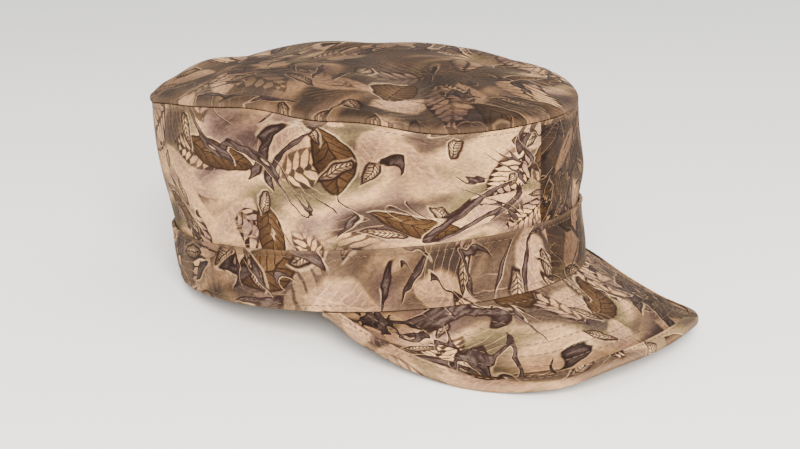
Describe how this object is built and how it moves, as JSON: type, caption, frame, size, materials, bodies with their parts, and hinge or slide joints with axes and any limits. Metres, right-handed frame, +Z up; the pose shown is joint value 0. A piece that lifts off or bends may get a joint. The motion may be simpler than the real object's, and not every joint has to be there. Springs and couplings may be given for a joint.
{
  "type": "patrol cap",
  "caption": "Soft patrol cap with a domed oval top, short sides, a wide band and a stiff curved peak with a bound edge, in camouflage print cotton.",
  "frame": {"origin": "on the surface that the cap rests on, under the middle of its bounding box", "axes": "+Z up, -Y towards the front of the cap and its peak, +X towards the wearer's left"},
  "size_m": [0.1812, 0.2684, 0.1071],
  "materials": {
    "top_cloth": "printed cotton, matt",
    "wall_cloth": "printed cotton, matt",
    "band_cloth": "printed cotton, matt",
    "peak_cloth": "printed cotton over board, matt",
    "binding_cloth": "printed cotton strip, matt"
  },
  "bodies": {
    "root": {"crown_top": "top_cloth", "wall_right": "wall_cloth", "wall_left": "wall_cloth", "band_right": "band_cloth", "band_left": "band_cloth", "peak": "peak_cloth", "peak_binding": "binding_cloth"}
  },
  "joints": []
}
